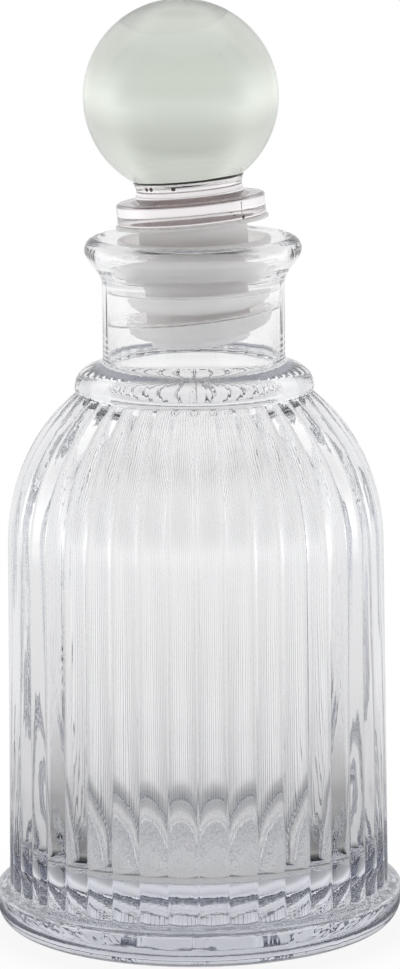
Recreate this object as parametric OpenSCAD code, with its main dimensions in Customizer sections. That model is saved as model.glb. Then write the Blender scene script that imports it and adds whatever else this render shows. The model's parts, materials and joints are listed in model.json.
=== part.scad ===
// Ribbed glass bottle with a ball stopper.
// Frame: millimetres, +Z up, the front of the bottle looks along -Y.
// Origin: centre of the bottle's base, on the surface that it stands on.

/* [Bottle body] */
// Crest radius of the ribs where the shoulder begins
body_r = 34; // [31:0.5:36]
// Crest radius of the ribs at the foot
foot_r = 34.6; // [34:0.1:35.4]
// Height at which the shoulder begins
shoulder_z = 71; // [68:0.5:74]
// Radius of the round shoulder
shoulder_r = 35; // [34:0.5:36]
// Number of convex ribs around the body
rib_count = 40; // [36:2:44]
// Depth of a rib, crest to valley, at the body
rib_depth = 1.2; // [0.6:0.1:1.6]
// Thickness of the wall at a rib's crest
wall = 3.6; // [3.2:0.1:4.5]

/* [Base] */
// Largest radius of the base flange
flange_r = 37; // [36.5:0.1:38]
// Height of the base flange's rim
flange_h = 7.2; // [6.5:0.1:8]
// Thickness of the glass floor above the table
floor_h = 14; // [12:0.5:17]
// Radius of the corner between the inner wall and the floor
floor_corner_r = 3.5; // [2:0.5:9]
// Inner radius of the ring that the bottle stands on
ring_ri = 25.4; // [22:0.1:27]
// Outer radius of the ring that the bottle stands on
ring_ro = 31.4; // [30:0.2:32]
// Height of the recess under the base, at its centre
push_up = 0.9; // [0.6:0.1:2.5]

/* [Neck] */
// Outer radius of the neck
neck_r = 16.4; // [16.2:0.1:17]
// Radius of the bore
bore_r = 15.5; // [15.4:0.05:15.6]
// Radius of the collar bead at the foot of the neck
collar_r = 21.5; // [20.5:0.1:22.5]
// Height of the top of the collar bead
collar_z = 103.3; // [102.5:0.1:104]
// Largest radius of the lip
lip_r = 19.5; // [19:0.1:20]
// Height of the top of the lip
lip_z = 126.1; // [125.5:0.1:127]

/* [Stopper] */
// Radius of the glass ball
ball_r = 17.5; // [15:0.5:19]
// Distance from the ball's centre to its ground flat
ball_flat = 14.43; // [14.4:0.01:14.6]
// Thickness of the clear bond under the ball
bond_t = 0.2; // [0.1:0.05:0.3]
// Radius of the disc of the stopper base
disc_r = 13.35; // [13:0.05:13.7]
// Thickness of the disc
disc_t = 3.95; // [3.5:0.05:4.2]
// Radius of the waist of the pedestal over the disc
waist_r = 9.5; // [8.5:0.1:9.8]
// Radius of the peg that the sleeve fits over
peg_r = 7.5; // [6.5:0.1:7.6]
// How far the stopper sits tipped to the left in the neck, degrees
tip_left = 4.7; // [4:0.1:5]
// How far the stopper sits tipped to the back in the neck, degrees
tip_back = 1.5; // [0.5:0.1:2]

/* [Sleeve] */
// Radius of the thin flange at the top of the sleeve
sleeve_flange_r = 13.75; // [13.4:0.05:14]
// Radius of the sleeve between its fins
core_r = 9.7; // [9.4:0.1:10]
// Radius of the thick part of the fins
fin_r = 13.3; // [12.8:0.1:13.6]
// Radius of the soft edges that seal on the bore
seal_r = 15.42; // [15.3:0.01:15.44]
// Radius of the sleeve's lower end
tail_r = 9.05; // [8.9:0.05:9.3]

/* [Hidden] */
$fn = 96;
pivot_z = 128;            // where the stopper's axis crosses the bottle's
ball_s = 23.2;            // ball centre, along the stopper's axis from the pivot
disc_s = 1.2;             // underside of the disc
sleeve_top_s = 1.15;      // top of the sleeve's flange, just under the disc
sleeve_end_s = -21.1;     // lower end of the sleeve
peg_end_s = -19.3;
run_fit = 0.05;           // radial clearance of the peg in the sleeve
shoulder_c = body_r - shoulder_r;      // radius at which the shoulder's arc is centred
in_r = body_r - wall;                  // inner radius of the body
in_shoulder_r = shoulder_r - wall;     // radius of the shoulder inside
flat_r = sqrt(ball_r * ball_r - ball_flat * ball_flat);

// ---- the ribbed wall ----
// Each rib is an arc between two sharp valleys. Every level is the same outline at its own
// radius, so the ribs narrow with the shoulder. A valley faces the front.
rib_half = 180 / rib_count;
rib_w = sin(rib_half);
rib_d = rib_depth / body_r;
rib_rho = (rib_w * rib_w + rib_d * rib_d) / (2 * rib_d);
rib_steps = 6;
function rib_rise(u) = sqrt(rib_rho * rib_rho - u * u * rib_w * rib_w) - (rib_rho - rib_d);
function outline(r, z) = [
    for (i = [0 : rib_count - 1], k = [0 : rib_steps - 1])
        let (u = 2 * k / rib_steps - 1,
             a = (i + 0.5 + u / 2) * 2 * rib_half,
             q = r * (1 - rib_d + rib_rise(u)))
        [q * sin(a), -q * cos(a), z]
];
dome_steps = 9;
dome_top = asin(28.5 / shoulder_r);
levels = concat(
    [[foot_r, 3]],
    [for (j = [0 : dome_steps])
        let (t = dome_top * j / dome_steps)
        [shoulder_c + shoulder_r * cos(t), shoulder_z + shoulder_r * sin(t)]]
);
module ribbed_wall() {
    n = rib_count * rib_steps;
    m = len(levels);
    pts = concat(
        [for (l = levels) each outline(l[0], l[1])],
        [[0, 0, levels[0][1]], [0, 0, levels[m - 1][1]]]
    );
    sides = [
        for (j = [0 : m - 2], i = [0 : n - 1])
            let (a = j * n + i, b = j * n + (i + 1) % n)
            each [[a, a + n, b + n], [a, b + n, b]]
    ];
    bottom = [for (i = [0 : n - 1]) [m * n, i, (i + 1) % n]];
    top = [for (i = [0 : n - 1]) [m * n + 1, (m - 1) * n + (i + 1) % n, (m - 1) * n + i]];
    polyhedron(points = pts, faces = concat(sides, bottom, top), convexity = 6);
}

// ---- the base: a round flange, flat where it stands ----
module base_flange() {
    rotate_extrude() polygon([
        [0, 0], [ring_ro, 0], [ring_ro + 1.4, 0.1], [flange_r - 2.9, 0.45], [flange_r - 1.7, 1.15],
        [flange_r - 0.8, 2.2], [flange_r - 0.2, 3.6], [flange_r, 5], [flange_r, flange_h - 1],
        [flange_r - 0.1, flange_h - 0.35], [flange_r - 0.4, flange_h + 0.1], [flange_r - 0.85, flange_h + 0.35],
        [foot_r + 0.9, flange_h + 0.5], [foot_r + 0.5, flange_h + 0.6], [0, flange_h + 0.6]
    ]);
}

// ---- the neck: collar bead, straight neck and rolled lip, bored through ----
module neck_outside() {
    rotate_extrude() polygon([
        [0, 98], [collar_r - 0.1, 98], [collar_r, 98.3], [collar_r, 99.6],
        [collar_r - 0.5, 101.1], [collar_r - 1.6, 102.3], [collar_r - 3, 103], [neck_r + 0.4, collar_z],
        [neck_r, collar_z + 0.6], [neck_r, 118.2], [neck_r + 0.3, 119.2], [neck_r + 1.2, 120.6],
        [lip_r - 0.7, 122.2], [lip_r - 0.1, 123.1], [lip_r, 123.7], [lip_r - 0.15, 124.5],
        [lip_r - 0.6, 125.1], [lip_r - 1.3, 125.7], [lip_r - 1.8, lip_z - 0.1], [lip_r - 2.1, lip_z], [0, lip_z]
    ]);
}
// The straight bore, and the flared mouth above it.
module bore() {
    translate([0, 0, 90]) cylinder(r = bore_r, h = 40);
    rotate_extrude() polygon([
        [0, 122.6], [bore_r, 122.6], [bore_r + 0.15, 123.6], [bore_r + 0.6, 124.8],
        [bore_r + 1.2, 125.6], [bore_r + 2, lip_z], [bore_r + 2, 130], [0, 130]
    ]);
}
// The space inside the body, one outline turned about the axis: a floor a little higher at its
// centre, a round corner, a wall that thins upwards, and the shoulder's arc.
module cavity() {
    c = floor_corner_r;
    x = in_r - 1 - c;
    rotate_extrude() polygon(concat(
        [[0, floor_h + 0.35], [0.3 * x, floor_h + 0.28], [0.6 * x, floor_h + 0.15], [0.85 * x, floor_h + 0.05]],
        [for (i = [0 : 6]) let (t = 15 * i) [x + c * sin(t), floor_h + c * (1 - cos(t))]],
        [[in_r - 0.95, 22], [in_r - 0.75, 28], [in_r - 0.4, 37], [in_r - 0.12, 46], [in_r, 55]],
        [for (i = [0 : 10])
            let (t = asin(26.4 / in_shoulder_r) * i / 10)
            [shoulder_c + in_shoulder_r * cos(t), shoulder_z + in_shoulder_r * sin(t)]],
        [[0, shoulder_z + 26.4]]
    ));
}
// The shallow recess under the base.
module hollow_under() {
    rotate_extrude() polygon([
        [0, -1], [ring_ri, -1], [ring_ri, 0], [ring_ri - 0.4, 0.17], [ring_ri - 1.2, 0.46 * push_up],
        [ring_ri - 3.4, 0.58 * push_up], [0.71 * ring_ri, 0.73 * push_up], [0.51 * ring_ri, 0.87 * push_up],
        [0.31 * ring_ri, 0.94 * push_up], [0, push_up]
    ]);
}
module bottle() {
    color([0.86, 0.87, 0.90, 0.45]) difference() {
        union() {
            ribbed_wall();
            base_flange();
            neck_outside();
        }
        cavity();
        bore();
        hollow_under();
    }
}

// ---- the stopper, about its own tipped axis ----
module on_stopper_axis(s = 0) {
    translate([0, 0, pivot_z]) rotate([-tip_back, -tip_left, 0]) translate([0, 0, s]) children();
}
// A fin: a cup round the sleeve that opens upwards, its rim at height 0.
module fin(r, h, rc) {
    rotate_extrude() polygon(concat(
        [[0, -h]],
        [for (i = [0 : 6]) let (t = 15 * i) [rc + (r - rc) * sin(t), -h * cos(t)]],
        [[r - 0.15, 0.1], [r - 0.8, 0.1]],
        [for (i = [5 : -1 : 1]) let (t = 15 * i)
            [core_r - 0.1 + (r - 0.9 - core_r + 0.1) * sin(t), -(h - 1.1) * cos(t)]],
        [[core_r - 0.2, 1.1 - h], [0, 1.1 - h]]
    ));
}
// A soft sealing edge: a thin disc, tipped, its rim cut to lie along the bore.
module seal_edge(z, tip) {
    intersection() {
        translate([0, 0, z]) rotate([0, -tip, 0]) translate([0, 0, -0.2]) cylinder(r = 20, h = 0.4);
        translate([0, 0, z - 6]) cylinder(r = seal_r, h = 12);
    }
}
module sleeve() {
    color([0.80, 0.79, 0.78, 0.9]) difference() {
        union() {
            on_stopper_axis(sleeve_top_s - 0.6) cylinder(r = sleeve_flange_r, h = 0.6);
            on_stopper_axis(-17) cylinder(r = core_r, h = 17 + sleeve_top_s - 0.3);
            on_stopper_axis(0) rotate_extrude()
                polygon([[0, sleeve_end_s], [tail_r - 0.9, sleeve_end_s], [tail_r - 0.25, sleeve_end_s + 0.3],
                    [tail_r, sleeve_end_s + 1], [tail_r, -16], [0, -16]]);
            // the fins, which settle nearer to level the nearer they are to the mouth
            translate([0.25, 0, 125.8]) rotate([-0.5, -1, 0]) fin(fin_r + 0.5, 4.4, core_r - 0.3);
            translate([0.9, -0.2, 116.9]) rotate([-1, -2.6, 0]) fin(fin_r - 0.2, 3.9, core_r - 0.4);
            translate([1.15, -0.3, 112.2]) rotate([-1.5, -5.6, 0]) fin(fin_r, 3.9, core_r - 0.6);
            seal_edge(116.7, 0.9);
            seal_edge(112, 6);
        }
        on_stopper_axis(peg_end_s - 0.4) cylinder(r = peg_r + run_fit, h = 40);
    }
}
// The pressed base: a waisted pedestal, a disc, and the peg that the sleeve fits over.
module stopper_base() {
    top = ball_s - ball_flat - bond_t;
    under = disc_s + disc_t;
    color([0.93, 0.90, 0.91, 0.55]) on_stopper_axis(0) rotate_extrude() polygon([
        [0, peg_end_s], [peg_r - 0.8, peg_end_s], [peg_r, peg_end_s + 0.8], [peg_r, disc_s],
        [disc_r - 0.4, disc_s], [disc_r, disc_s + 0.4], [disc_r, under - 0.5], [disc_r - 0.5, under],
        [waist_r + 1.3, under], [waist_r + 0.6, under + 0.3], [waist_r + 0.2, under + 0.8],
        [waist_r, under + 1.5], [waist_r, top - 1.2], [waist_r + 0.15, top - 0.4],
        [flat_r - 0.1, top], [0, top]
    ]);
}
// The clear bond between the pedestal and the ball.
module bond_film() {
    color([0.85, 0.80, 0.72, 0.6]) on_stopper_axis(ball_s - ball_flat - bond_t)
        cylinder(r = flat_r - 0.25, h = bond_t);
}
// The solid glass ball, ground flat where it is bonded.
module ball() {
    color([0.78, 0.84, 0.78, 0.6]) on_stopper_axis(ball_s) difference() {
        sphere(r = ball_r);
        translate([0, 0, -ball_flat - 20]) cylinder(r = 30, h = 20);
    }
}

bottle();
sleeve();
stopper_base();
bond_film();
ball();
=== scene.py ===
import json
import math
import bmesh
import bpy
from mathutils import Matrix, Vector

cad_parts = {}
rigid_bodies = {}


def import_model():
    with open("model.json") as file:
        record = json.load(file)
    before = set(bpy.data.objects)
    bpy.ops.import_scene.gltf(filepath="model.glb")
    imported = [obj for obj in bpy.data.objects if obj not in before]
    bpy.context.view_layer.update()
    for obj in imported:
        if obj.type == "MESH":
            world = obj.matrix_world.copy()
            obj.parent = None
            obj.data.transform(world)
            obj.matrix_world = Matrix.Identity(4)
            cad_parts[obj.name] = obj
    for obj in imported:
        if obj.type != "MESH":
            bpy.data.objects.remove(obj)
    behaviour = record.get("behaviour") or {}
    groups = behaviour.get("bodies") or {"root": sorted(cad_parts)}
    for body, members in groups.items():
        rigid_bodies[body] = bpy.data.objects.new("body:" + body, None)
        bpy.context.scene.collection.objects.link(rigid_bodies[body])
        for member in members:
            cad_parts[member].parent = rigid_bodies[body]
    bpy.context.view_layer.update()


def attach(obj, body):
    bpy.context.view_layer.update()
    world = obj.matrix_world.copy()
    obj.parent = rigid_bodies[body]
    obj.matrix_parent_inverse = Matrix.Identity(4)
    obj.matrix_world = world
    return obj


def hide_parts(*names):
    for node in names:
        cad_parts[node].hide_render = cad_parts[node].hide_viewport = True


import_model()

MM = 0.001
TAU = 2 * math.pi
scene = bpy.context.scene

# ------------------------------------------------------------------ camera
# Long lens, a little above the bottle, with the slight roll of the photograph.
cam_data = bpy.data.cameras.new("camera")
cam = bpy.data.objects.new("camera", cam_data)
scene.collection.objects.link(cam)
scene.camera = cam
CAM_PITCH = math.radians(10.5)
CAM_ROLL = math.radians(0.547)
cam_data.sensor_width = 36.0
cam_data.lens = 5069.0 / 969.0 * 36.0
cam_data.clip_start = 0.01
cam_data.clip_end = 50.0
fwd = Vector((0.0, math.cos(CAM_PITCH), -math.sin(CAM_PITCH)))
up0 = Vector((0.0, math.sin(CAM_PITCH), math.cos(CAM_PITCH)))
right0 = Vector((1.0, 0.0, 0.0))
right = right0 * math.cos(CAM_ROLL) - up0 * math.sin(CAM_ROLL)
up = right0 * math.sin(CAM_ROLL) + up0 * math.cos(CAM_ROLL)
rot = Matrix((right, up, -fwd)).transposed()
cam.matrix_world = Matrix.Translation(Vector((0.86, -900.0, 247.7)) * MM) @ rot.to_4x4()


# ------------------------------------------------------------------ mesh helpers
def add_mesh(name, bm, smooth=True):
    bmesh.ops.recalc_face_normals(bm, faces=bm.faces)
    me = bpy.data.meshes.new(name)
    bm.to_mesh(me)
    bm.free()
    if smooth:
        me.polygons.foreach_set("use_smooth", [True] * len(me.polygons))
    me.update()
    ob = bpy.data.objects.new(name, me)
    scene.collection.objects.link(ob)
    return ob


def spline(points, steps):
    """Points on a smooth curve through the given (r, z) points, centripetal, `steps` to a span."""
    out = []
    n = len(points)
    for i in range(n - 1):
        p1, p2 = Vector(points[i]), Vector(points[i + 1])
        p0 = Vector(points[i - 1]) if i > 0 else p1 - (p2 - p1)
        p3 = Vector(points[i + 2]) if i + 2 < n else p2 + (p2 - p1)
        t0 = 0.0
        t1 = t0 + max((p1 - p0).length, 1e-6) ** 0.5
        t2 = t1 + max((p2 - p1).length, 1e-6) ** 0.5
        t3 = t2 + max((p3 - p2).length, 1e-6) ** 0.5
        for k in range(steps):
            t = t1 + (t2 - t1) * k / steps
            a1 = p0 * ((t1 - t) / (t1 - t0)) + p1 * ((t - t0) / (t1 - t0))
            a2 = p1 * ((t2 - t) / (t2 - t1)) + p2 * ((t - t1) / (t2 - t1))
            a3 = p2 * ((t3 - t) / (t3 - t2)) + p3 * ((t - t2) / (t3 - t2))
            b1 = a1 * ((t2 - t) / (t2 - t0)) + a2 * ((t - t0) / (t2 - t0))
            b2 = a2 * ((t3 - t) / (t3 - t1)) + a3 * ((t - t1) / (t3 - t1))
            c = b1 * ((t2 - t) / (t2 - t1)) + b2 * ((t - t1) / (t2 - t1))
            out.append((c.x, c.y))
    out.append(tuple(points[-1]))
    return out


def ring(bm, angles, place):
    """A ring of vertices: place(angle) gives (x, y, z) in millimetres."""
    return [bm.verts.new(Vector(place(a)) * MM) for a in angles]


def bridge(bm, a, b):
    """Faces between two rings. One may have a whole multiple of the other's vertices."""
    na, nb = len(a), len(b)
    if na == nb:
        for i in range(na):
            j = (i + 1) % na
            bm.faces.new((a[i], a[j], b[j], b[i]))
        return
    fine, coarse = (a, b) if na > nb else (b, a)
    k = len(fine) // len(coarse)
    for i in range(len(coarse)):
        c0, c1 = coarse[i], coarse[(i + 1) % len(coarse)]
        f = [fine[(i * k + q) % len(fine)] for q in range(k + 1)]
        half = k // 2
        for q in range(half):
            bm.faces.new((f[q], f[q + 1], c0))
        bm.faces.new((f[half], c1, c0))
        for q in range(half, k):
            bm.faces.new((f[q], f[q + 1], c1))


def cap(bm, loop, point):
    c = bm.verts.new(Vector(point) * MM)
    n = len(loop)
    for i in range(n):
        bm.faces.new((loop[i], loop[(i + 1) % n], c))


def lathe(name, outline, count=160, place=None):
    """A closed body of revolution from (r, z) points that start and end on the axis."""
    place = place or (lambda p: p)
    # a point close to each end of the long straight runs keeps their shading flat
    tight = [outline[0]]
    for p, q in zip(outline, outline[1:]):
        d = math.hypot(q[0] - p[0], q[1] - p[1])
        if d > 0.6:
            for t in (0.08 / d, 1 - 0.08 / d):
                tight.append((p[0] + (q[0] - p[0]) * t, p[1] + (q[1] - p[1]) * t))
        tight.append(q)
    outline = tight
    bm = bmesh.new()
    angles = [TAU * i / count for i in range(count)]
    rings = []
    for r, z in outline[1:-1]:
        rings.append(ring(bm, angles, lambda a, r=r, z=z: place((r * math.sin(a), -r * math.cos(a), z))))
    for p, q in zip(rings, rings[1:]):
        bridge(bm, p, q)
    cap(bm, rings[0], place((0, 0, outline[0][1])))
    cap(bm, rings[-1], place((0, 0, outline[-1][1])))
    return add_mesh(name, bm)


# ------------------------------------------------------------------ the bottle
RIBS = 40
RIB_DEPTH = 1.2 / 34.0
RIB_W = math.sin(math.pi / RIBS)
RIB_RHO = (RIB_W ** 2 + RIB_DEPTH ** 2) / (2 * RIB_DEPTH)
# places across one rib, closer together near its two valleys
US = [-1.0, -0.967, -0.933, -0.90, -0.80, -0.64, -0.44, -0.22, 0.0, 0.22, 0.44, 0.64, 0.80, 0.90, 0.933, 0.967]


FILLET = 0.90


def rib_rise(u):
    """How far the rib's surface stands over its valleys, as a share of the radius."""
    def arc(v):
        return math.sqrt(RIB_RHO ** 2 - (v * RIB_W) ** 2) - (RIB_RHO - RIB_DEPTH)
    u = abs(u)
    if u <= FILLET:
        return arc(u)
    # the small fillet in the valley: level at u = 1, and in line with the arc where it starts
    slope = (arc(FILLET + 1e-5) - arc(FILLET - 1e-5)) / 2e-5
    t = (u - FILLET) / (1 - FILLET)
    return arc(FILLET) + slope * (1 - FILLET) * (t - t * t / 2)


def rib_slope(u):
    """Change of that rise with the angle in radians."""
    if abs(u) >= 1:
        return 0.0
    return (rib_rise(u + 1e-5) - rib_rise(u - 1e-5)) / 2e-5 / (math.pi / RIBS)


RIB_ANGLES = [((i + 0.5) + u / 2) * TAU / RIBS for i in range(RIBS) for u in US]
RIB_SHAPE = [rib_rise(u) - RIB_DEPTH for i in range(RIBS) for u in US]
RIB_SLOPE = [rib_slope(u) for i in range(RIBS) for u in US]


def wall_r(z):
    """Crest radius of the ribs on the straight part."""
    return 34.6 + (34.0 - 34.6) * (z - 7.8) / (71.0 - 7.8)


WAVES = ((23, 0.016, 0.4), (31, 0.013, 2.1), (44, 0.009, 4.4), (57, 0.006, 1.3), (71, 0.004, 3.3))


FLUTE = -0.14


def wave(a, z):
    """The inside of a moulded bottle (share of the radius) and its slope: shallow flutes that follow the ribs, and
    a slight waviness. None at the bore or the floor."""
    fade = max(0.0, min(1.0, (z - 18.5) / 6)) * max(0.0, min(1.0, (97.0 - z) / 8))
    h = sum(k * math.sin(n * a + p + 0.35 * math.sin(z / 17.0 + p)) for n, k, p in WAVES) / 30.0
    d = sum(k * n * math.cos(n * a + p + 0.35 * math.sin(z / 17.0 + p)) for n, k, p in WAVES) / 30.0
    h -= FLUTE * math.cos(RIBS * a) / 30.0
    d += FLUTE * RIBS * math.sin(RIBS * a) / 30.0
    return h * fade, d * fade


def build_bottle():
    bm = bmesh.new()
    levels = []                        # (kind, r, z): "plain" is round, "rib" has the ribs' outline

    # underside: a shallow recess, then the ring that it stands on, the rounded heel and the flange
    for r, z in ((3.0, 0.88), (8.0, 0.85), (13.0, 0.78), (18.0, 0.66), (22.0, 0.52), (23.6, 0.46), (24.2, 0.42)):
        levels.append(("coarse", r, z))
    heel = [(24.6, 0.34), (25.0, 0.17), (25.4, 0.04), (25.9, 0.0), (28.0, 0.0), (31.4, 0.0), (32.8, 0.1), (34.1, 0.45),
            (35.3, 1.15), (36.2, 2.2), (36.8, 3.6), (37.0, 5.0), (37.0, 6.2), (36.9, 6.85), (36.6, 7.3), (36.15, 7.55),
            (35.6, 7.67), (35.25, 7.72)]
    for r, z in spline(heel, 2):
        levels.append(("plain", r, z))
    # the ribs' feet, with a small fillet on the flange
    for d, z in ((0.42, 7.78), (0.20, 7.86), (0.07, 8.02), (0.0, 8.3)):
        levels.append(("rib", wall_r(z) + d, z))
    for k in range(1, 14):
        z = 8.3 + (71.0 - 8.3) * k / 13
        levels.append(("rib", wall_r(z), z))
    top = math.asin(26.85 / 35.0)
    for k in range(1, 23):
        t = top * k / 22
        levels.append(("rib", -1.0 + 35.0 * math.cos(t), 71.0 + 35.0 * math.sin(t)))
    collar = [(21.2, 98.05), (21.5, 98.5), (21.58, 99.2), (21.45, 100.0), (21.1, 100.9), (20.5, 101.7),
              (19.6, 102.35), (18.5, 102.8), (17.5, 103.1), (16.85, 103.5), (16.5, 104.1), (16.4, 105.0)]
    levels += [("plain", r, z) for r, z in spline(collar, 2)]
    lip = [(16.4, 116.6), (16.42, 117.8), (16.65, 118.9), (17.15, 119.9), (17.85, 120.9), (18.6, 121.8),
           (19.2, 122.7), (19.48, 123.6), (19.42, 124.5), (19.0, 125.3), (18.3, 125.85), (17.5, 126.08),
           (16.8, 125.85), (16.25, 125.2), (15.85, 124.3), (15.6, 123.3), (15.52, 122.2), (15.5, 121.0)]
    levels += [("plain", r, z) for r, z in spline(lip, 2)]
    # inside: the bore, the shoulder, the wall that thickens downwards, the corner and the floor
    inside = [(15.5, 112.0), (15.5, 104.0), (15.5, 100.5), (15.6, 99.4), (15.95, 98.3), (16.55, 97.2)]
    levels += [("coarse", r, z) for r, z in spline(inside, 2)]
    t0 = math.asin(25.0 / 31.4)
    for k in range(0, 15):
        t = t0 * (1 - k / 14)
        levels.append(("coarse", -1.0 + 31.4 * math.cos(t), 71.0 + 31.4 * math.sin(t)))
    cw, cr, cz = 29.4, 3.5, 14.0       # the wall's foot, the corner's radius and the floor's height at it
    down = [(30.4, 71.0), (30.4, 63.0), (30.4, 55.0), (30.28, 46.0), (30.0, 37.0), (29.65, 28.0), (29.45, 22.0), (cw, cz + cr + 1.2)]
    for k in range(0, 9):
        t = math.radians(90 * k / 8)
        down.append((cw - cr + cr * math.cos(t), cz + cr - cr * math.sin(t)))
    down += [(22.0, cz + 0.05), (15.0, cz + 0.15), (8.0, cz + 0.28), (3.0, cz + 0.34)]
    levels += [("coarse", r, z) for r, z in spline(down, 3)[1:]]

    rings = []
    normals = []
    inner_from = 40                    # the levels after this one are inside
    last = len(levels) - 1
    for i, (kind, r, z) in enumerate(levels):
        before, after = levels[max(i - 1, 0)], levels[min(i + 1, last)]
        vs = []
        if kind == "coarse":
            places = [(TAU * (j - 7.5) / 640 + TAU * 0.5 / RIBS, 0) for j in range(640)]
        else:
            places = [(RIB_ANGLES[j], j) for j in range(len(RIB_ANGLES))]
        for a, j in places:
            w, dw = wave(a, z) if kind == "coarse" and i > inner_from else (0.0, 0.0)
            here = r * (1 + (RIB_SHAPE[j] if kind == "rib" else w))
            vs.append(bm.verts.new(Vector((here * math.sin(a), -here * math.cos(a), z)) * MM))
            # the true surface normal, from the slopes around and along the bottle
            r0 = before[1] * (1 + (RIB_SHAPE[j] if before[0] == "rib" else 0.0))
            r2 = after[1] * (1 + (RIB_SHAPE[j] if after[0] == "rib" else 0.0))
            h1 = max(math.hypot(here - r0, z - before[2]), 1e-6)
            h2 = max(math.hypot(r2 - here, after[2] - z), 1e-6)
            if i == 0:
                dr, dz = (r2 - here) / h2, (after[2] - z) / h2
            elif i == last:
                dr, dz = (here - r0) / h1, (z - before[2]) / h1
            else:
                dr = ((r2 - here) / h2 * h1 + (here - r0) / h1 * h2) / (h1 + h2)
                dz = ((after[2] - z) / h2 * h1 + (z - before[2]) / h1 * h2) / (h1 + h2)
            da = r * RIB_SLOPE[j] if kind == "rib" else r * dw
            along = Vector((dr * math.sin(a), -dr * math.cos(a), dz))
            around = Vector((da * math.sin(a) + here * math.cos(a), -da * math.cos(a) + here * math.sin(a), 0))
            normals.append(around.cross(along).normalized())
        rings.append(vs)
    for a, b in zip(rings, rings[1:]):
        bridge(bm, a, b)
    cap(bm, rings[0], (0, 0, 0.9))
    cap(bm, rings[-1], (0, 0, cz + 0.35))
    normals += [Vector((0, 0, -1)), Vector((0, 0, 1))]
    ob = add_mesh("bottle_glass", bm)
    ob.data.normals_split_custom_set_from_vertices([tuple(v) for v in normals])
    return ob


bottle = build_bottle()
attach(bottle, "bottle")
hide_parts("bottle")

# ------------------------------------------------------------------ the stopper
PIVOT = Vector((0, 0, 128.0))
TIP = Matrix.Rotation(math.radians(-4.7), 3, "Y") @ Matrix.Rotation(math.radians(-1.5), 3, "X")


def on_axis(p):
    """A point given about the stopper's own tipped axis, from the pivot."""
    return PIVOT + TIP @ Vector(p)


def corner(points):
    """Small arcs in place of the corners of an outline: (r, z, radius)."""
    out = []
    n = len(points)
    for i, (r, z, c) in enumerate(points):
        p = Vector((r, z))
        if c <= 0 or i in (0, n - 1):
            out.append((r, z))
            continue
        a = Vector(points[i - 1][:2]) - p
        b = Vector(points[i + 1][:2]) - p
        c = min(c, a.length * 0.49, b.length * 0.49)
        p0, p2 = p + a.normalized() * c, p + b.normalized() * c
        for k in range(7):
            t = k / 6
            q = p0 * (1 - t) ** 2 + p * (2 * t * (1 - t)) + p2 * t ** 2
            out.append((q.x, q.y))
    return out


BALL_S, BALL_R, FLAT = 23.2, 17.5, 14.43
flat_r = math.sqrt(BALL_R ** 2 - FLAT ** 2)
ball_pts = [(0.0, BALL_S - FLAT), (flat_r * 0.5, BALL_S - FLAT), (flat_r - 0.25, BALL_S - FLAT)]
a0 = math.asin(-FLAT / BALL_R) + 0.012
for k in range(0, 97):
    t = a0 + (math.pi / 2 - a0) * k / 96
    ball_pts.append((BALL_R * math.cos(t), BALL_S + BALL_R * math.sin(t)))
ball_pts[-1] = (0.0, BALL_S + BALL_R)
ball = lathe("ball_glass", ball_pts, 192, on_axis)
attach(ball, "knob")
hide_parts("ball")

TOP = BALL_S - FLAT - 0.2
UNDER = 1.2 + 3.95
base_pts = corner([
    (0.0, -19.3, 0), (6.9, -19.3, 0.0), (7.5, -18.6, 0.5), (7.5, 1.2, 0.0), (13.35, 1.2, 0.55), (13.35, UNDER, 0.7),
    (10.9, UNDER, 0.0), (9.9, UNDER + 0.55, 0.5), (9.5, UNDER + 1.5, 0.6), (9.5, TOP - 1.1, 0.6), (9.9, TOP, 0.0), (0.0, TOP, 0)])
stopper_base = lathe("stopper_base_clear", base_pts, 160, on_axis)
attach(stopper_base, "knob")
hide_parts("stopper_base")

bond_pts = [(0.0, TOP), (5.0, TOP), (9.55, TOP), (9.62, TOP + 0.1), (9.55, TOP + 0.2), (5.0, TOP + 0.2), (0.0, TOP + 0.2)]
bond = lathe("bond_clear", bond_pts, 128, on_axis)
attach(bond, "knob")
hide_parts("bond_film")


def arc_bead(name, r, s, a0, a1, rr, rs, steps=40, sides=8):
    """A bead along part of a circle about the stopper's axis, tapering to its ends. Angles in degrees from the front."""
    bm = bmesh.new()
    whole = abs(a1 - a0) >= 360
    rings = []
    for i in range(steps if whole else steps + 1):
        t = i / steps
        a = math.radians(a0 + (a1 - a0) * t)
        k = 1.0 if whole else max(0.06, math.sin(math.pi * t)) ** 0.6
        vs = []
        for q in range(sides):
            b = TAU * q / sides
            rad = r + rr * k * math.cos(b)
            vs.append(bm.verts.new(on_axis((rad * math.sin(a), -rad * math.cos(a), s + rs * k * math.sin(b))) * MM))
        rings.append(vs)
    for a, b in zip(rings, rings[1:] + (rings[:1] if whole else [])):
        bridge(bm, a, b)
    if not whole:
        bm.faces.new(rings[0])
        bm.faces.new(rings[-1])
    return add_mesh(name, bm)


def seed(name, r, s, a, size):
    """A small rounded inclusion (a bubble or speck) near the stopper's surface; size is its three half-widths."""
    bm = bmesh.new()
    bmesh.ops.create_icosphere(bm, subdivisions=3, radius=1.0)
    t = math.radians(a)
    for v in bm.verts:
        x, y, z = v.co.x * size[0], v.co.y * size[1], v.co.z * size[2]
        v.co = on_axis(((r + y) * math.sin(t) + x * math.cos(t), -(r + y) * math.cos(t) + x * math.sin(t), s + z)) * MM
    return add_mesh(name, bm)


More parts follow.
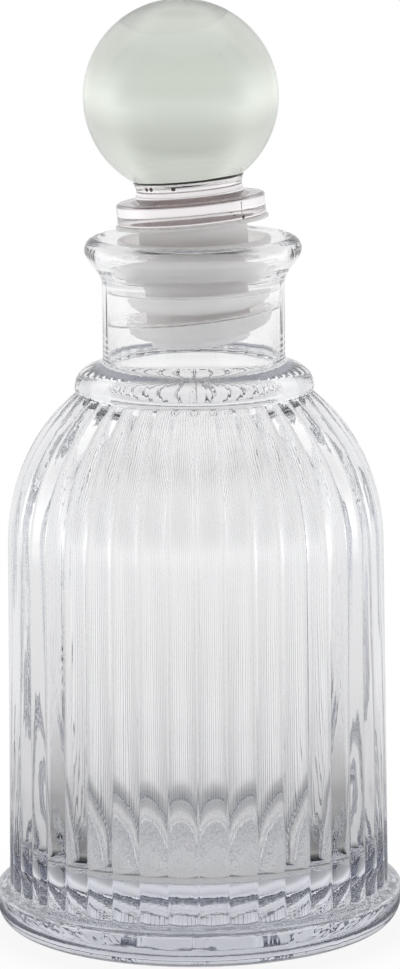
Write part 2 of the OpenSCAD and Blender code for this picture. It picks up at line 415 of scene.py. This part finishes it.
# Near-black beads round the bond's edge and a thin streak under it: painted dark reflection lines, where the flat
# under the ball mirrors dark surroundings.
painted_reflection_lines = [
    arc_bead("bond_edge_painted_reflection", 9.72, BALL_S - FLAT - 0.02, 0, 360, 0.19, 0.26, 180, 10),
    arc_bead("bond_thick_painted_reflection", 9.70, BALL_S - FLAT + 0.10, 12, 86, 0.18, 0.40, 60, 10),
    arc_bead("bond_painted_dark_streak", 9.50, BALL_S - FLAT - 0.75, -28, 20, 0.07, 0.12),
]
brown_marks = [
    seed("bond_bubble_a", 9.18, BALL_S - FLAT - 1.0, -53.0, (0.40, 0.20, 0.42)),
    seed("bond_bubble_b", 9.20, BALL_S - FLAT - 1.0, -45.5, (0.40, 0.20, 0.44)),
    seed("bond_bubble_c", 9.20, BALL_S - FLAT - 1.1, -17.0, (0.42, 0.20, 0.34)),
    seed("disc_gate_mark", 13.15, 1.75, 44.0, (0.36, 0.14, 0.34)),
    seed("disc_fleck_a", 12.9, 2.9, 33.0, (0.45, 0.08, 0.10)),
    seed("disc_fleck_b", 12.9, 2.3, 35.5, (0.35, 0.08, 0.09)),
]
seam = []
for nm, a in (("disc_seam_front", 43.0), ("disc_seam_back", 223.0)):
    bm = bmesh.new()
    rings = []
    for z0, lift in ((1.75, 0.0), (1.95, 0.07), (4.3, 0.07), (4.45, 0.0)):
        t = math.radians(a)
        vs = []
        for x, y in ((-0.16, -0.1), (-0.08, lift), (0.08, lift), (0.16, -0.1)):
            rad = 13.33 + y
            vs.append(bm.verts.new(on_axis((rad * math.sin(t) + x * math.cos(t), -rad * math.cos(t) + x * math.sin(t), z0)) * MM))
        rings.append(vs)
    for p, q in zip(rings, rings[1:]):
        bridge(bm, p, q)
    bm.faces.new(rings[0])
    bm.faces.new(rings[-1])
    seam.append(add_mesh(nm, bm, smooth=False))
for o in painted_reflection_lines + brown_marks:
    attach(o, "knob")
for o in seam:
    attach(o, "knob")


def build_sleeve():
    """The sleeve's rings each have their own centre and tip: its fins settle nearer to level near the mouth."""
    bm = bmesh.new()
    angles = [TAU * i / 144 for i in range(144)]

    def tipped(cx, cy, cz, left, back, r):
        m = Matrix.Rotation(math.radians(-left), 3, "Y") @ Matrix.Rotation(math.radians(-back), 3, "X")
        return ring(bm, angles, lambda a: Vector((cx, cy, cz)) + m @ Vector((r * math.sin(a), -r * math.cos(a), 0)))

    def axis(s):
        p = on_axis((0, 0, s))
        return p.x, p.y, p.z

    rings = []

    def add(s, r, left=4.7, back=1.5, centre=None):
        x, y, z = centre or axis(s)
        rings.append(tipped(x, y, z, left, back, r))

    # from the bore's foot, up inside, over the flange and down outside
    for s, r in ((-19.7, 6.9), (-19.5, 7.4), (-19.0, 7.55), (0.8, 7.55), (1.1, 7.65)):
        add(s, r)
    for s, r in ((1.15, 8.0), (1.15, 13.45), (1.08, 13.68), (0.85, 13.75), (0.62, 13.68), (0.55, 13.45), (0.5, 10.4), (0.2, 9.9), (-0.6, 9.75)):
        add(s, r)
    # top fin: inside of the cup, its rim, and its outside
    def fin(cx, cy, cz, left, back, r, rc_in, rc_out, h, lip=0.3, inner=0.9):
        for k in range(0, 11):         # inside the cup, from the core out to the rim
            t = math.pi / 2 * (1 - k / 10)
            q = rc_in + (r - lip - rc_in) * math.cos(t)
            add(0, q, left, back, (cx, cy, cz - inner * math.sin(t)))
        add(0, r - 0.08, left, back, (cx, cy, cz + 0.02))
        add(0, r, left, back, (cx, cy, cz - 0.15))
        for k in range(1, 9):          # outside, a rounded bowl
            t = math.pi / 2 * k / 8
            add(0, rc_out + (r - rc_out) * math.cos(t), left, back,
                (cx, cy, cz - 0.15 - (h - 0.15) * math.sin(t)))

    fin(0.25, 0.0, 125.8, 1.0, 0.5, 13.8, 9.8, 9.4, 4.4, 0.9, 3.2)
    add(0, 9.25, 2.4, 1.0, (0.62, -0.15, 118.4))
    fin(0.9, -0.2, 116.9, 2.6, 1.0, 13.1, 9.5, 9.3, 3.9, 0.9, 2.8)
    fin(1.15, -0.3, 112.2, 5.6, 1.5, 13.3, 9.5, 9.05, 3.9, 0.9, 2.8)
    x0 = Vector((1.37, -0.45, 107.2))
    for s, r in ((0.9, 9.05), (0.2, 9.03), (-0.1, 8.9), (-0.3, 8.6), (-0.42, 8.1), (-0.45, 6.0), (-0.45, 2.0)):
        add(0, r, 6.0, 1.5, (x0.x, x0.y, x0.z + s))
    for a, b in zip(rings, rings[1:]):
        bridge(bm, a, b)
    cap(bm, rings[0], on_axis((0, 0, -19.7)))
    cap(bm, rings[-1], x0 + Vector((0, 0, -0.45)))
    return add_mesh("sleeve_body", bm)


sleeve = build_sleeve()
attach(sleeve, "sleeve")
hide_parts("sleeve")


def build_seal(name, z, left, back, cx, r_in, droop):
    """A soft sealing edge: a thin skirt from the fin out to the bore."""
    bm = bmesh.new()
    angles = [TAU * i / 144 for i in range(144)]
    m = Matrix.Rotation(math.radians(-left), 3, "Y") @ Matrix.Rotation(math.radians(-back), 3, "X")
    rings = []
    for side in (0, 1):
        for k in range(0, 9):
            t = k / 8 if side == 0 else 1 - k / 8
            lift = 0.07 if side == 0 else -0.07

            def place(a, t=t, lift=lift):
                inner = Vector((cx, -0.2, 0)) + Vector((r_in * math.sin(a), -r_in * math.cos(a), 0))
                outer = Vector((15.42 * math.sin(a), -15.42 * math.cos(a), 0))
                p = inner.lerp(outer, t)
                p.z = (m @ Vector((p.x, p.y, 0))).z + z + droop * (t ** 1.5) + lift
                return p
            rings.append(ring(bm, angles, place))
    for a, b in zip(rings, rings[1:] + rings[:1]):
        bridge(bm, a, b)
    return add_mesh(name, bm)


for nm, args in (("seal_edge_upper", (116.75, 0.9, 0.4, 0.9, 12.4, 0.0)), ("seal_edge_lower", (112.3, 6.0, 1.5, 1.15, 12.0, -0.25))):
    seal = build_seal(nm, *args)
    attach(seal, "sleeve")


# ------------------------------------------------------------------ materials
def nodes_of(mat):
    mat.use_nodes = True
    return mat.node_tree.nodes, mat.node_tree.links


def specks(nodes, links, vector, scale, radius, share):
    """1 inside small round specks: one in a cell of 1/scale metres, in only a share of the cells."""
    v = nodes.new("ShaderNodeTexVoronoi")
    v.inputs["Scale"].default_value = scale
    v.inputs["Randomness"].default_value = 1.0
    links.new(vector, v.inputs["Vector"])
    near = nodes.new("ShaderNodeMapRange")
    near.inputs["From Min"].default_value = radius * scale
    near.inputs["From Max"].default_value = radius * scale * 0.55
    links.new(v.outputs["Distance"], near.inputs["Value"])
    sp = nodes.new("ShaderNodeSeparateXYZ")
    links.new(v.outputs["Color"], sp.inputs["Vector"])
    some = nodes.new("ShaderNodeMath")
    some.operation = "LESS_THAN"
    some.inputs[1].default_value = share
    links.new(sp.outputs["X"], some.inputs[0])
    both = nodes.new("ShaderNodeMath")
    both.operation = "MULTIPLY"
    links.new(near.outputs["Result"], both.inputs[0])
    links.new(some.outputs["Value"], both.inputs[1])
    return both.outputs["Value"]


def stretched(nodes, links, co, turn, scale):
    m = nodes.new("ShaderNodeMapping")
    m.inputs["Rotation"].default_value = turn
    m.inputs["Scale"].default_value = scale
    links.new(co.outputs["Object"], m.inputs["Vector"])
    return m.outputs["Vector"]


def glass(name, tint, density, ior, rough=(0.0, 0.02), wave=0.02, wave_scale=120.0, dots=None, scratches=None,
          speck_scale=900.0, streaks=None):
    mat = bpy.data.materials.new(name)
    n, l = nodes_of(mat)
    p = n["Principled BSDF"]
    out = n["Material Output"]
    p.inputs["Base Color"].default_value = (1.0, 1.0, 1.0, 1.0)
    p.inputs["Metallic"].default_value = 0.0
    p.inputs["Transmission Weight"].default_value = 1.0
    p.inputs["IOR"].default_value = ior
    co = n.new("ShaderNodeTexCoord")
    marks = []
    if dots:                           # (scale, radius in metres, share of the cells)
        marks.append(specks(n, l, co.outputs["Object"], *dots))
    for turn, args in scratches or ():
        marks.append(specks(n, l, stretched(n, l, co, turn, (1.0, 1.0, 0.16)), *args))
    if marks:
        total = marks[0]
        for m in marks[1:]:
            mx = n.new("ShaderNodeMath")
            mx.operation = "MAXIMUM"
            l.new(total, mx.inputs[0])
            l.new(m, mx.inputs[1])
            total = mx.outputs["Value"]
        tone = n.new("ShaderNodeMix")
        tone.data_type = "RGBA"
        tone.inputs[6].default_value = (1.0, 1.0, 1.0, 1.0)
        tone.inputs[7].default_value = (0.30, 0.29, 0.27, 1.0)
        l.new(total, tone.inputs["Factor"])
        l.new(tone.outputs[2], p.inputs["Base Color"])
    noise = n.new("ShaderNodeTexNoise")
    noise.inputs["Scale"].default_value = wave_scale
    noise.inputs["Detail"].default_value = 2.0
    l.new(co.outputs["Object"], noise.inputs["Vector"])
    bump = n.new("ShaderNodeBump")
    bump.inputs["Strength"].default_value = wave
    bump.inputs["Distance"].default_value = 0.001
    l.new(noise.outputs["Fac"], bump.inputs["Height"])
    last = bump
    if streaks:                        # fine upright streaks left by the mould: (scale, strength)
        run = n.new("ShaderNodeTexNoise")
        run.inputs["Scale"].default_value = streaks[0]
        run.inputs["Detail"].default_value = 3.0
        m = n.new("ShaderNodeMapping")
        m.inputs["Scale"].default_value = (1.0, 1.0, 0.04)
        l.new(co.outputs["Object"], m.inputs["Vector"])
        l.new(m.outputs["Vector"], run.inputs["Vector"])
        last = n.new("ShaderNodeBump")
        last.inputs["Strength"].default_value = streaks[1]
        last.inputs["Distance"].default_value = 0.001
        l.new(run.outputs["Fac"], last.inputs["Height"])
        l.new(bump.outputs["Normal"], last.inputs["Normal"])
    fine = n.new("ShaderNodeTexNoise")
    fine.inputs["Scale"].default_value = speck_scale
    fine.inputs["Detail"].default_value = 1.0
    l.new(co.outputs["Object"], fine.inputs["Vector"])
    ramp = n.new("ShaderNodeMapRange")
    ramp.inputs["From Min"].default_value = 0.70
    ramp.inputs["From Max"].default_value = 0.80
    ramp.inputs["To Min"].default_value = rough[0]
    ramp.inputs["To Max"].default_value = rough[1]
    l.new(fine.outputs["Fac"], ramp.inputs["Value"])
    l.new(ramp.outputs["Result"], p.inputs["Roughness"])
    l.new(last.outputs["Normal"], p.inputs["Normal"])
    vol = n.new("ShaderNodeVolumeAbsorption")
    vol.inputs["Color"].default_value = (*tint, 1.0)
    vol.inputs["Density"].default_value = density
    l.new(vol.outputs["Volume"], out.inputs["Volume"])
    return mat


bottle.data.materials.append(glass(
    "bottle_glass", (0.83, 0.84, 0.89), 24.0, 1.52, (0.0, 0.015), 0.03, 90.0, dots=(160.0, 0.00016, 0.10),
    streaks=(260.0, 0.12)))
bottle.data.materials.append(glass(
    "bottle_glass_under", (0.83, 0.84, 0.89), 24.0, 1.52, (0.04, 0.14), 0.30, 260.0))
bottle.data.materials.append(glass(
    "bottle_glass_floor", (0.83, 0.84, 0.89), 24.0, 1.52, (0.0, 0.02), 0.05, 110.0))
bottle.data.materials.append(glass(
    "bottle_glass_recess", (0.83, 0.84, 0.89), 24.0, 1.52, (0.06, 0.14), 0.12, 160.0))
for poly in bottle.data.polygons:                # the underside, less uneven in its middle, and the floor
    c = poly.center / MM
    if c.z < 1.3 and math.hypot(c.x, c.y) > 12.0:
        poly.material_index = 1
    elif c.z < 1.3:
        poly.material_index = 3
    elif 13.0 < c.z < 15.5 and math.hypot(c.x, c.y) < 29.0:
        poly.material_index = 2
ball.data.materials.append(glass(
    "ball_glass", (0.80, 0.832, 0.775), 50.0, 1.52, (0.0, 0.05), 0.01, 60.0, dots=(420.0, 0.00012, 0.16),
    scratches=(((0.5, 0.3, 0.0), (300.0, 0.00012, 0.10)), ((1.1, -0.6, 0.4), (300.0, 0.00012, 0.10)))))
stopper_base.data.materials.append(glass(
    "clear_plastic", (0.92, 0.87, 0.885), 30.0, 1.49, (0.0, 0.05), 0.05, 160.0, dots=(300.0, 0.00010, 0.2)))
stopper_base.data.materials.append(glass(
    "clear_plastic_matt", (0.92, 0.87, 0.885), 30.0, 1.49, (0.30, 0.42), 0.05, 160.0))
for poly in stopper_base.data.polygons:          # the peg and the underside of the disc are left matt by the mould
    c = TIP.transposed() @ (poly.center / MM - PIVOT)
    if c.z < 1.3 and math.hypot(c.x, c.y) < 12.85:
        poly.material_index = 1
bond.data.materials.append(glass("bond", (0.80, 0.70, 0.55), 60.0, 1.49, (0.0, 0.10), 0.05, 300.0))


def milky(name, colour, rough, transmission, grain=0.06):
    """Milky translucent plastic: light sinks in and comes back out softened."""
    mat = bpy.data.materials.new(name)
    n, l = nodes_of(mat)
    p = n["Principled BSDF"]
    p.inputs["IOR"].default_value = 1.51
    p.inputs["Transmission Weight"].default_value = transmission
    p.inputs["Subsurface Weight"].default_value = 1.0
    p.inputs["Subsurface Radius"].default_value = (0.0060, 0.0056, 0.0054)
    p.inputs["Subsurface Scale"].default_value = 1.0
    co = n.new("ShaderNodeTexCoord")
    big = n.new("ShaderNodeTexNoise")          # faint cloudiness in the plastic
    big.inputs["Scale"].default_value = 55.0
    big.inputs["Detail"].default_value = 2.0
    l.new(co.outputs["Object"], big.inputs["Vector"])
    ramp = n.new("ShaderNodeMix")
    ramp.data_type = "RGBA"
    ramp.inputs[6].default_value = (*[c * 0.95 for c in colour], 1.0)
    ramp.inputs[7].default_value = (*[min(1.0, c * 1.03) for c in colour], 1.0)
    l.new(big.outputs["Fac"], ramp.inputs["Factor"])
    l.new(ramp.outputs[2], p.inputs["Base Color"])
    noise = n.new("ShaderNodeTexNoise")
    noise.inputs["Scale"].default_value = 420.0
    noise.inputs["Detail"].default_value = 3.0
    l.new(co.outputs["Object"], noise.inputs["Vector"])
    bump = n.new("ShaderNodeBump")
    bump.inputs["Strength"].default_value = grain
    bump.inputs["Distance"].default_value = 0.0006
    l.new(noise.outputs["Fac"], bump.inputs["Height"])
    l.new(bump.outputs["Normal"], p.inputs["Normal"])
    mr = n.new("ShaderNodeMapRange")
    mr.inputs["To Min"].default_value = rough - 0.08
    mr.inputs["To Max"].default_value = rough + 0.08
    l.new(noise.outputs["Fac"], mr.inputs["Value"])
    l.new(mr.outputs["Result"], p.inputs["Roughness"])
    return mat


pe = milky("sleeve_plastic", (0.97, 0.945, 0.94), 0.48, 0.0)
sleeve.data.materials.append(pe)
thin = glass("sleeve_thin", (0.96, 0.95, 0.95), 40.0, 1.22, (0.05, 0.16), 0.10, 240.0)
for o in list(scene.collection.objects):
    if o.name.startswith("seal_edge"):
        o.data.materials.append(thin)


def dark(name, lo, hi, rough):
    """Nearly black, a little mottled, glossy: used for the painted dark reflection lines at the bond's edge, and for
    brown specks of set adhesive and dirt.
    """
    mat = bpy.data.materials.new(name)
    n, l = nodes_of(mat)
    p = n["Principled BSDF"]
    co = n.new("ShaderNodeTexCoord")
    noise = n.new("ShaderNodeTexNoise")
    noise.inputs["Scale"].default_value = 900.0
    noise.inputs["Detail"].default_value = 2.0
    l.new(co.outputs["Object"], noise.inputs["Vector"])
    mix = n.new("ShaderNodeMix")
    mix.data_type = "RGBA"
    mix.inputs[6].default_value = (*lo, 1.0)
    mix.inputs[7].default_value = (*hi, 1.0)
    l.new(noise.outputs["Fac"], mix.inputs["Factor"])
    l.new(mix.outputs[2], p.inputs["Base Color"])
    mr = n.new("ShaderNodeMapRange")
    mr.inputs["To Min"].default_value = rough * 0.7
    mr.inputs["To Max"].default_value = rough * 1.3
    l.new(noise.outputs["Fac"], mr.inputs["Value"])
    l.new(mr.outputs["Result"], p.inputs["Roughness"])
    bump = n.new("ShaderNodeBump")
    bump.inputs["Strength"].default_value = 0.2
    bump.inputs["Distance"].default_value = 0.0001
    l.new(noise.outputs["Fac"], bump.inputs["Height"])
    l.new(bump.outputs["Normal"], p.inputs["Normal"])
    return mat


# Painted dark reflection lines at the bond's edge and under it.
painted_reflection_dark = dark("bond_edge_painted_reflection", (0.006, 0.010, 0.006), (0.03, 0.045, 0.02), 0.35)
brown = dark("bond_brown", (0.03, 0.012, 0.008), (0.16, 0.07, 0.05), 0.3)
for o in painted_reflection_lines:
    o.data.materials.append(painted_reflection_dark)
for o in brown_marks:
    o.data.materials.append(brown)
for o in seam:
    o.data.materials.append(stopper_base.data.materials[0])

# ------------------------------------------------------------------ the studio
# A bottle on a pale table, lit from above and behind as if in a tent that is open towards the camera.
def ramp_node(nodes, links, source, lo, hi, stops):
    """A grey ramp of source over lo..hi; stops are (value of source, brightness)."""
    mr = nodes.new("ShaderNodeMapRange")
    mr.inputs["From Min"].default_value = lo
    mr.inputs["From Max"].default_value = hi
    links.new(source, mr.inputs["Value"])
    cr = nodes.new("ShaderNodeValToRGB")
    els = cr.color_ramp.elements
    while len(els) > 1:
        els.remove(els[0])
    for k, (at, val) in enumerate(stops):
        e = els[0] if k == 0 else els.new((at - lo) / (hi - lo))
        e.position = (at - lo) / (hi - lo)
        e.color = (val, val, val, 1)
    links.new(mr.outputs["Result"], cr.inputs["Fac"])
    return cr.outputs["Color"]


def smooth_step(nodes, links, source, lo, hi):
    mr = nodes.new("ShaderNodeMapRange")
    mr.interpolation_type = "SMOOTHSTEP"
    mr.inputs["From Min"].default_value = lo
    mr.inputs["From Max"].default_value = hi
    links.new(source, mr.inputs["Value"])
    return mr.outputs["Result"]


def mix_colour(nodes, links, fac, a, b):
    m = nodes.new("ShaderNodeMix")
    m.data_type = "RGBA"
    links.new(fac, m.inputs["Factor"])
    links.new(a, m.inputs[6])
    links.new(b, m.inputs[7])
    return m.outputs[2]


# The table's brightness by distance in metres from the bottle's axis: behind it, a quarter round, beside it, ahead of
# it on either side, and straight in front. The table glows with painted light and shade: the dark ring just round the
# bottle is painted shadow, and the brighter far parts ahead on the left and right are painted light from two soft
# lights that are not in the scene.
TABLE_BACK = [(0.0, 0.51), (0.033, 0.51), (0.037, 0.40), (0.045, 0.38), (0.055, 0.45), (0.070, 0.60), (0.090, 0.73),
              (0.11, 0.84), (0.18, 0.89), (0.30, 0.86), (0.45, 0.89), (0.70, 0.92), (1.2, 0.92)]
TABLE_QUARTER = [(0.0, 0.51), (0.033, 0.51), (0.037, 0.42), (0.055, 0.45), (0.070, 0.50), (0.11, 0.70), (0.18, 0.76),
                 (0.35, 0.82), (0.60, 1.0), (1.2, 1.12)]
TABLE_SIDE = [(0.0, 0.51), (0.033, 0.51), (0.037, 0.12), (0.050, 0.06), (0.075, 0.10), (0.11, 0.45), (0.18, 0.85),
              (0.30, 0.85), (0.48, 1.15), (0.80, 1.35), (1.2, 1.40)]
TABLE_AHEAD = [(0.0, 0.51), (0.033, 0.51), (0.037, 0.10), (0.045, 0.0), (0.095, 0.05), (0.12, 0.50), (0.18, 0.95),
               (0.30, 1.0), (0.48, 1.35), (0.80, 1.5), (1.2, 1.5)]
TABLE_FRONT = [(0.0, 0.51), (0.033, 0.51), (0.037, 0.10), (0.045, 0.0), (0.095, 0.05), (0.12, 0.60), (0.18, 0.90),
               (0.30, 0.75), (0.48, 0.90), (0.80, 1.1), (1.2, 1.15)]


def build_table():
    bm = bmesh.new()
    angles = [TAU * k / 96 for k in range(96)]
    rings = [ring(bm, angles, lambda a, r=r: (r * math.sin(a), -r * math.cos(a), -0.8)) for r in (60, 300, 1500, 6000)]
    for a, b in zip(rings, rings[1:]):
        bridge(bm, a, b)
    cap(bm, rings[0], (0, 0, -0.8))
    ob = add_mesh("table", bm, smooth=False)
    mat = bpy.data.materials.new("table")
    n, l = nodes_of(mat)
    n.remove(n["Principled BSDF"])
    co = n.new("ShaderNodeTexCoord")
    ln = n.new("ShaderNodeVectorMath")
    ln.operation = "LENGTH"
    l.new(co.outputs["Object"], ln.inputs[0])
    way = n.new("ShaderNodeVectorMath")
    way.operation = "NORMALIZE"
    l.new(co.outputs["Object"], way.inputs[0])
    sp = n.new("ShaderNodeSeparateXYZ")
    l.new(way.outputs["Vector"], sp.inputs["Vector"])
    # Painted light and shade on the glowing table, by direction: dark rings round the bottle are painted shadow,
    # bright far parts are painted light.
    five = [ramp_node(n, l, ln.outputs["Value"], 0.0, 1.2, stops)
            for stops in (TABLE_FRONT, TABLE_AHEAD, TABLE_SIDE, TABLE_QUARTER, TABLE_BACK)]
    grad = mix_colour(n, l, smooth_step(n, l, sp.outputs["Y"], -0.88, -0.80), five[0], five[1])
    grad = mix_colour(n, l, smooth_step(n, l, sp.outputs["Y"], -0.35, -0.05), grad, five[2])
    grad = mix_colour(n, l, smooth_step(n, l, sp.outputs["Y"], 0.15, 0.55), grad, five[3])
    grad = mix_colour(n, l, smooth_step(n, l, sp.outputs["Y"], 0.80, 0.95), grad, five[4])
    # What the camera sees of the table: near white, with a faint painted contact shadow round the bottle's foot.
    seen_with_painted_shadow = ramp_node(n, l, ln.outputs["Value"], 0.0, 0.12, [(0.0, 0.90), (0.036, 0.93), (0.045, 0.985), (0.075, 1.0)])
    lp = n.new("ShaderNodeLightPath")
    em = n.new("ShaderNodeEmission")
    l.new(mix_colour(n, l, lp.outputs["Is Camera Ray"], grad, seen_with_painted_shadow), em.inputs["Color"])
    l.new(em.outputs["Emission"], n["Material Output"].inputs["Surface"])
    ob.data.materials.append(mat)


build_table()

world = bpy.data.worlds.new("studio")
scene.world = world
world.use_nodes = True
wn, wl = world.node_tree.nodes, world.node_tree.links
bg = wn["Background"]
co = wn.new("ShaderNodeTexCoord")
sep = wn.new("ShaderNodeSeparateXYZ")
wl.new(co.outputs["Generated"], sep.inputs["Vector"])
flat = wn.new("ShaderNodeVectorMath")
flat.operation = "MULTIPLY"
flat.inputs[1].default_value = (1.0, 1.0, 0.0)
wl.new(co.outputs["Generated"], flat.inputs[0])
unit = wn.new("ShaderNodeVectorMath")
unit.operation = "NORMALIZE"
wl.new(flat.outputs["Vector"], unit.inputs[0])
sep2 = wn.new("ShaderNodeSeparateXYZ")
wl.new(unit.outputs["Vector"], sep2.inputs["Vector"])
Z, C = sep.outputs["Z"], sep2.outputs["Y"]      # height, and 1 straight behind the bottle to -1 at the camera
BACK = [(0.0, 0.91), (0.08, 0.85), (0.16, 0.76), (0.30, 0.73), (0.40, 0.86), (0.74, 0.88), (0.82, 0.42), (0.90, 0.40),
        (0.95, 0.8), (1.0, 0.87)]
QUARTER = [(0.0, 1.10), (0.08, 1.0), (0.2, 0.90), (0.4, 1.0), (0.66, 1.10), (0.87, 1.15), (0.95, 0.9), (1.0, 0.87)]
SIDE = [(0.0, 1.35), (0.08, 1.05), (0.20, 0.75), (0.3, 0.55), (0.45, 0.28), (0.72, 0.22), (0.80, 0.7), (0.9, 0.80), (1.0, 0.87)]
FRONT = [(0.0, 1.15), (0.04, 0.90), (0.10, 0.48), (0.18, 0.16), (0.26, 0.0), (0.76, 0.0), (0.82, 0.45), (0.9, 0.60), (0.95, 0.8),
         (1.0, 0.87)]
back, quarter, side, front = [ramp_node(wn, wl, Z, 0.0, 1.0, stops) for stops in (BACK, QUARTER, SIDE, FRONT)]
sky = mix_colour(wn, wl, smooth_step(wn, wl, C, -0.45, -0.10), front, side)
sky = mix_colour(wn, wl, smooth_step(wn, wl, C, 0.10, 0.45), sky, quarter)
sky = mix_colour(wn, wl, smooth_step(wn, wl, C, 0.84, 0.98), sky, back)
lp = wn.new("ShaderNodeLightPath")
white = wn.new("ShaderNodeRGB")
white.outputs[0].default_value = (1.0, 1.0, 1.0, 1.0)
wl.new(mix_colour(wn, wl, lp.outputs["Is Camera Ray"], sky, white.outputs[0]), bg.inputs["Color"])
bg.inputs["Strength"].default_value = 1.0

scene.view_settings.view_transform = "Standard"
scene.view_settings.look = "None"
scene.cycles.max_bounces = 32
scene.cycles.transmission_bounces = 32
scene.cycles.glossy_bounces = 12
scene.cycles.diffuse_bounces = 6
scene.cycles.transparent_max_bounces = 16
scene.cycles.caustics_refractive = True
scene.cycles.caustics_reflective = True
scene.cycles.blur_glossy = 0.0
scene.cycles.sample_clamp_indirect = 6.0
scene.cycles.use_denoising = True
